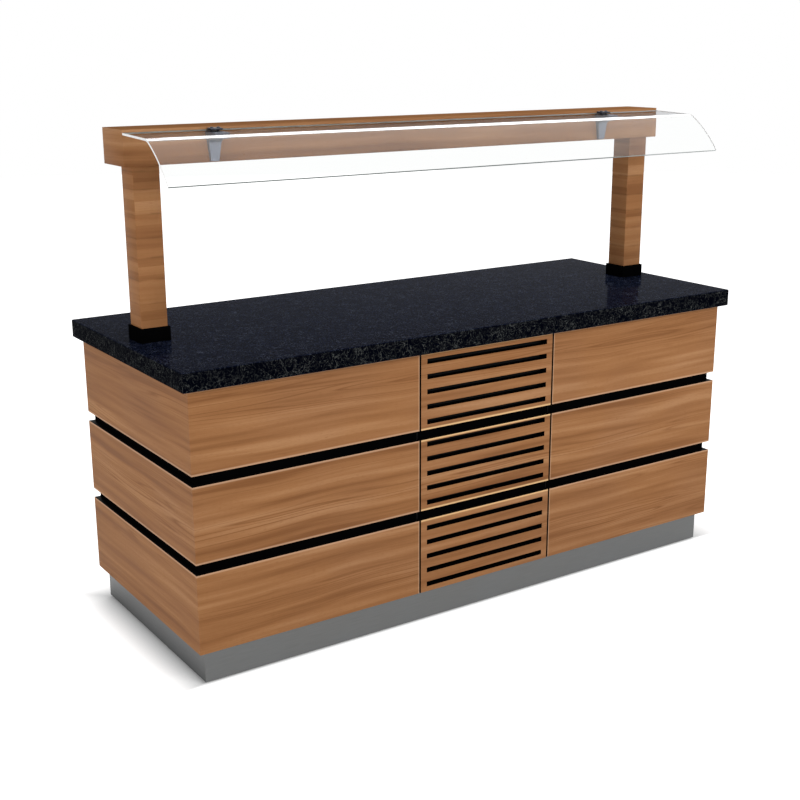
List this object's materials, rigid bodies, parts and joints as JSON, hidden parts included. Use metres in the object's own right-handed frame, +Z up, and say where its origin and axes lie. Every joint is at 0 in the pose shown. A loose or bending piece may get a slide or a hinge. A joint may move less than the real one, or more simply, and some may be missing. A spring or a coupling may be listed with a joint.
{
  "type": "mobile salad bar",
  "caption": "Refrigerated serving counter on castors: black granite top, timber-clad cabinet with slotted grilles, and a timber gantry with a curved glass sneeze guard.",
  "frame": {"origin": "on the floor, under the middle of the granite top", "axes": "+X to the right along the counter as a guest sees it, +Y from the guests' side to the staff side, +Z up"},
  "size_m": [2, 0.796, 1.49],
  "materials": {
    "granite": "polished, fine grey speckle",
    "aluminium": "mill finish",
    "copper": "drawn copper tube",
    "foam": "cut foam",
    "frame_paint": "powder coat",
    "black_board": "black laminated board",
    "veneer": "open-pored brown veneer, satin",
    "filter_mesh": "dark filter mat in a frame",
    "plinth_steel": "brushed along its length",
    "bracket_steel": "fine brushed",
    "guard_glass": "clear, polished edges",
    "gasket": "matt",
    "zinc": "zinc plated",
    "light_cover": "frosted diffuser",
    "compressor_paint": "semi-gloss black",
    "shroud_paint": "satin dark grey",
    "fan_plastic": "moulded",
    "panel_steel": "fine brushed",
    "display_plastic": "moulded, dark window",
    "inlet_plastic": "moulded",
    "rocker_plastic": "moulded",
    "wheel_rubber": "grey non-marking tread",
    "pedal_paint": "gloss"
  },
  "bodies": {
    "cabinet": {"worktop": "granite", "evaporator_plate": "aluminium", "condenser": "aluminium", "evaporator_coil": "copper", "pipework": "copper", "insulation_tray": "foam", "chassis": "frame_paint", "post_cores": "frame_paint", "base_panel": "black_board", "end_walls": "black_board", "front_walls": "black_board", "rear_wall": "black_board", "partitions": "black_board", "post_collars": "black_board", "fascia_front_left": "veneer", "fascia_front_right": "veneer", "fascia_end_left": "veneer", "fascia_end_right": "veneer", "fascia_rear": "veneer", "rear_column_boards": "veneer", "post_left": "veneer", "post_right": "veneer", "beam": "veneer", "plinth_front": "plinth_steel", "plinth_rear": "plinth_steel", "plinth_ends": "plinth_steel", "guard_brackets": "bracket_steel", "guard_fixings": "bracket_steel", "glass_guard": "guard_glass", "guard_gaskets": "gasket", "door_pivots": "zinc", "door_catch": "zinc", "castor_plates": "zinc", "light_bar": "light_cover", "compressor": "compressor_paint", "fan_housing": "shroud_paint", "control_panel": "panel_steel", "display": "display_plastic", "power_inlet": "inlet_plastic"},
    "service_door": {"door_panel": "black_board", "door_grille_top": "veneer", "door_grille_middle": "veneer", "door_grille_bottom": "veneer", "air_filter": "filter_mesh", "door_pins": "zinc"},
    "fork_front_left": {"castor_fork_front_left": "zinc"},
    "wheel_front_left": {"castor_wheel_front_left": "wheel_rubber"},
    "fork_front_right": {"castor_fork_front_right": "zinc"},
    "wheel_front_right": {"castor_wheel_front_right": "wheel_rubber"},
    "fork_rear_left": {"castor_fork_rear_left": "zinc"},
    "wheel_rear_left": {"castor_wheel_rear_left": "wheel_rubber"},
    "fork_rear_right": {"castor_fork_rear_right": "zinc"},
    "wheel_rear_right": {"castor_wheel_rear_right": "wheel_rubber"},
    "pedal_front_left": {"brake_pedal_front_left": "pedal_paint"},
    "pedal_front_right": {"brake_pedal_front_right": "pedal_paint"},
    "condenser_fan": {"fan": "fan_plastic"},
    "light_button": {"button_light": "panel_steel"},
    "up_button": {"button_up": "panel_steel"},
    "down_button": {"button_down": "panel_steel"},
    "rocker": {"power_rocker": "rocker_plastic"}
  },
  "joints": [
    {"name": "door_hinge", "type": "hinge", "parent": "cabinet", "child": "service_door", "pos_m": [-0.196, -0.3565, 0.476], "axis": [0, 0, -1], "range_deg": [0, 110]},
    {"name": "swivel_front_left", "type": "hinge", "parent": "cabinet", "child": "fork_front_left", "pos_m": [-0.84, -0.235, 0.08], "axis": [0, 0, 1], "continuous": true},
    {"name": "roll_front_left", "type": "hinge", "parent": "fork_front_left", "child": "wheel_front_left", "pos_m": [-0.868, -0.235, 0.0375], "axis": [0, 1, 0], "continuous": true},
    {"name": "swivel_front_right", "type": "hinge", "parent": "cabinet", "child": "fork_front_right", "pos_m": [0.84, -0.235, 0.08], "axis": [0, 0, 1], "continuous": true},
    {"name": "roll_front_right", "type": "hinge", "parent": "fork_front_right", "child": "wheel_front_right", "pos_m": [0.812, -0.235, 0.0375], "axis": [0, 1, 0], "continuous": true},
    {"name": "swivel_rear_left", "type": "hinge", "parent": "cabinet", "child": "fork_rear_left", "pos_m": [-0.84, 0.235, 0.08], "axis": [0, 0, 1], "continuous": true},
    {"name": "roll_rear_left", "type": "hinge", "parent": "fork_rear_left", "child": "wheel_rear_left", "pos_m": [-0.868, 0.235, 0.0375], "axis": [0, 1, 0], "continuous": true},
    {"name": "swivel_rear_right", "type": "hinge", "parent": "cabinet", "child": "fork_rear_right", "pos_m": [0.84, 0.235, 0.08], "axis": [0, 0, 1], "continuous": true},
    {"name": "roll_rear_right", "type": "hinge", "parent": "fork_rear_right", "child": "wheel_rear_right", "pos_m": [0.812, 0.235, 0.0375], "axis": [0, 1, 0], "continuous": true},
    {"name": "brake_front_left", "type": "hinge", "parent": "fork_front_left", "child": "pedal_front_left", "pos_m": [-0.888, -0.235, 0.082], "axis": [0, -1, 0], "range_deg": [0, 29.5]},
    {"name": "brake_front_right", "type": "hinge", "parent": "fork_front_right", "child": "pedal_front_right", "pos_m": [0.792, -0.235, 0.082], "axis": [0, -1, 0], "range_deg": [0, 29.5]},
    {"name": "fan_spin", "type": "hinge", "parent": "cabinet", "child": "condenser_fan", "pos_m": [0, -0.1775, 0.305], "axis": [0, 1, 0], "continuous": true},
    {"name": "mains_switch", "type": "hinge", "parent": "cabinet", "child": "rocker", "pos_m": [-0.04, 0.371, 0.733], "axis": [-1, 0, 0], "range_deg": [0, 16]},
    {"name": "press_light", "type": "slide", "parent": "cabinet", "child": "light_button", "axis": [0, -1, 0], "range_m": [0, 0.001], "stiffness_N_per_m": 400},
    {"name": "press_up", "type": "slide", "parent": "cabinet", "child": "up_button", "axis": [0, -1, 0], "range_m": [0, 0.001], "stiffness_N_per_m": 400},
    {"name": "press_down", "type": "slide", "parent": "cabinet", "child": "down_button", "axis": [0, -1, 0], "range_m": [0, 0.001], "stiffness_N_per_m": 400}
  ]
}
